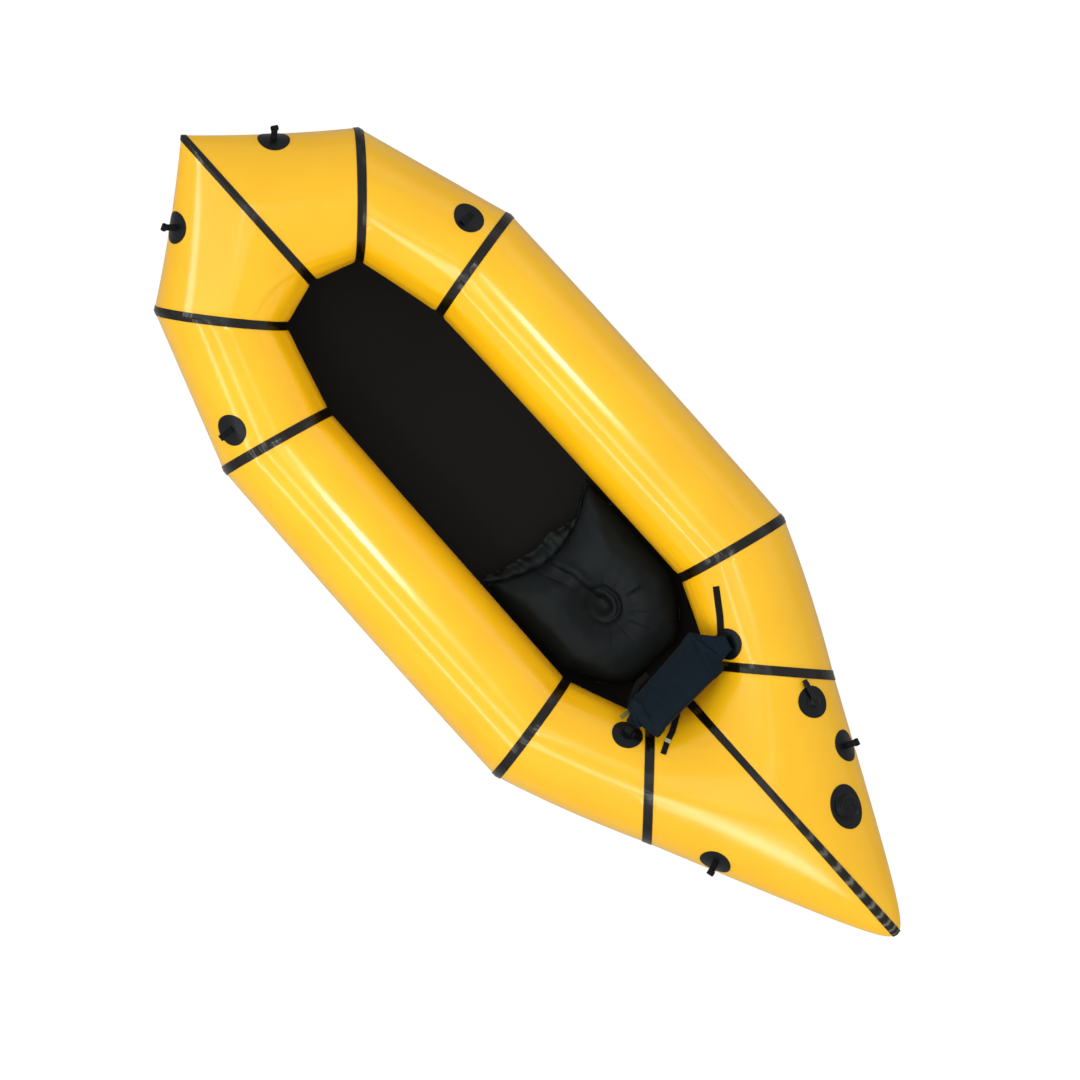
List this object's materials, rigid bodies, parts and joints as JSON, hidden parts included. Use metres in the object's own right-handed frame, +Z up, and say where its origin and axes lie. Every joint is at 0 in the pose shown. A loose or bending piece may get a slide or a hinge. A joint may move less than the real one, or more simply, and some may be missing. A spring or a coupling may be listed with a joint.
{
  "type": "packraft",
  "caption": "One-person inflatable raft of mitred tube panels and seam tapes, with a flat floor, inflatable seat, strapped backrest, valves and tie-down loops.",
  "frame": {"origin": "on the underside of the floor, amidships on the centre line", "axes": "+X to the bow, +Y to port, +Z up"},
  "size_m": [2.6141, 0.9496, 0.3865],
  "materials": {
    "yellow_fabric": "coated, glossy",
    "black_tape": "coated, satin",
    "black_floor": "coated, matte",
    "black_patch": "coated, matte",
    "webbing": "woven",
    "seat_fabric": "coated, satin",
    "backrest_fabric": "woven",
    "foam": "open-cell",
    "black_plastic": "moulded",
    "soft_rubber": "moulded"
  },
  "bodies": {
    "hull": {"bow_tube_port": "yellow_fabric", "bow_tube_starboard": "yellow_fabric", "front_shoulder_tube_port": "yellow_fabric", "front_shoulder_tube_starboard": "yellow_fabric", "side_tube_port": "yellow_fabric", "side_tube_starboard": "yellow_fabric", "rear_shoulder_tube_port": "yellow_fabric", "rear_shoulder_tube_starboard": "yellow_fabric", "stern_tube_port": "yellow_fabric", "stern_tube_starboard": "yellow_fabric", "bow_centre_tape": "black_tape", "stern_centre_tape": "black_tape", "bow_seam_tape_port": "black_tape", "bow_seam_tape_starboard": "black_tape", "front_seam_tape_port": "black_tape", "front_seam_tape_starboard": "black_tape", "rear_seam_tape_port": "black_tape", "rear_seam_tape_starboard": "black_tape", "stern_seam_tape_port": "black_tape", "stern_seam_tape_starboard": "black_tape", "floor_sheet": "black_floor", "bow_tie_patch_port": "black_patch", "bow_tie_patch_starboard": "black_patch", "shoulder_tie_patch_port": "black_patch", "shoulder_tie_patch_starboard": "black_patch", "stern_tie_patch_port": "black_patch", "stern_tie_patch_starboard": "black_patch", "backrest_anchor_patch_port": "black_patch", "backrest_anchor_patch_starboard": "black_patch", "backrest_anchor_loop_port": "webbing", "backrest_anchor_loop_starboard": "webbing", "strap_tail_port": "webbing", "strap_tail_starboard": "webbing", "seat_cushion": "seat_fabric", "seat_valve_stem": "black_plastic", "main_valve_flange": "black_patch", "main_valve_base": "black_plastic", "topup_patch": "black_patch", "topup_base": "black_plastic"},
    "bow_tie_loop_port": {"bow_tie_loop_port": "webbing"},
    "bow_tie_loop_starboard": {"bow_tie_loop_starboard": "webbing"},
    "shoulder_tie_loop_port": {"shoulder_tie_loop_port": "webbing"},
    "shoulder_tie_loop_starboard": {"shoulder_tie_loop_starboard": "webbing"},
    "stern_tie_loop_port": {"stern_tie_loop_port": "webbing"},
    "stern_tie_loop_starboard": {"stern_tie_loop_starboard": "webbing"},
    "backrest": {"backrest_cover": "backrest_fabric", "backrest_core": "foam", "backrest_strap_port": "webbing", "backrest_strap_starboard": "webbing", "backrest_buckle_port": "black_plastic", "backrest_buckle_starboard": "black_plastic"},
    "main_valve_cap": {"main_valve_cap": "black_plastic"},
    "main_valve_flap": {"main_valve_flap": "soft_rubber"},
    "topup_mouthpiece": {"topup_mouthpiece": "black_plastic"},
    "topup_poppet": {"topup_poppet": "soft_rubber"},
    "seat_valve_plug": {"seat_valve_plug": "soft_rubber"}
  },
  "joints": [
    {"name": "bow_tie_loop_port_hinge", "type": "hinge", "parent": "hull", "child": "bow_tie_loop_port", "pos_m": [1.15468, 0.16618, 0.31482], "axis": [-0.4269, 0.7923, -0.436], "range_deg": [-85, 85], "stiffness_Nm_per_rad": 0.004},
    {"name": "bow_tie_loop_starboard_hinge", "type": "hinge", "parent": "hull", "child": "bow_tie_loop_starboard", "pos_m": [1.15468, -0.16618, 0.31482], "axis": [0.4269, 0.7923, 0.436], "range_deg": [-85, 85], "stiffness_Nm_per_rad": 0.004},
    {"name": "shoulder_tie_loop_port_hinge", "type": "hinge", "parent": "hull", "child": "shoulder_tie_loop_port", "pos_m": [0.69286, 0.39341, 0.28519], "axis": [0.997, -0.0468, -0.0623], "range_deg": [-50, 110], "stiffness_Nm_per_rad": 0.004},
    {"name": "shoulder_tie_loop_starboard_hinge", "type": "hinge", "parent": "hull", "child": "shoulder_tie_loop_starboard", "pos_m": [0.69286, -0.39341, 0.28519], "axis": [0.997, 0.0468, -0.0623], "range_deg": [0, 160], "stiffness_Nm_per_rad": 0.004},
    {"name": "stern_tie_loop_port_hinge", "type": "hinge", "parent": "hull", "child": "stern_tie_loop_port", "pos_m": [-0.88278, 0.22029, 0.25748], "axis": [0.9433, 0.2693, 0.1941], "range_deg": [-85, 85], "stiffness_Nm_per_rad": 0.004},
    {"name": "stern_tie_loop_starboard_hinge", "type": "hinge", "parent": "hull", "child": "stern_tie_loop_starboard", "pos_m": [-0.88278, -0.22029, 0.25748], "axis": [0.9433, -0.2693, 0.1941], "range_deg": [-85, 85], "stiffness_Nm_per_rad": 0.004},
    {"name": "backrest_tilt", "type": "hinge", "parent": "hull", "child": "backrest", "pos_m": [-0.49816, 0, 0.2919], "axis": [0, 1, 0], "range_deg": [-8, 8]},
    {"name": "main_valve_cap_turn", "type": "hinge", "parent": "hull", "child": "main_valve_cap", "pos_m": [-0.99076, -0.11611, 0.29839], "axis": [-0.2083, -0.5014, 0.8398], "range_deg": [0, 90]},
    {"name": "main_valve_flap_lift", "type": "slide", "parent": "hull", "child": "main_valve_flap", "axis": [0.2083, 0.5014, -0.8398], "range_m": [0, 0.004], "stiffness_N_per_m": 60, "springref_m": -0.001},
    {"name": "topup_mouthpiece_turn", "type": "hinge", "parent": "hull", "child": "topup_mouthpiece", "pos_m": [-0.7481, -0.22951, 0.30243], "axis": [0.9626, -0.2575, 0.0846], "range_deg": [0, 180]},
    {"name": "topup_poppet_lift", "type": "slide", "parent": "hull", "child": "topup_poppet", "axis": [0.9626, -0.2575, 0.0846], "range_m": [0, 0.0025]},
    {"name": "seat_valve_plug_pull", "type": "slide", "parent": "hull", "child": "seat_valve_plug", "axis": [0, -1, 0], "range_m": [0, 0.008]}
  ],
  "couplings": [
    {"joint": "topup_poppet_lift", "follows": "topup_mouthpiece_turn", "m_per_rad": 0.0007958}
  ]
}
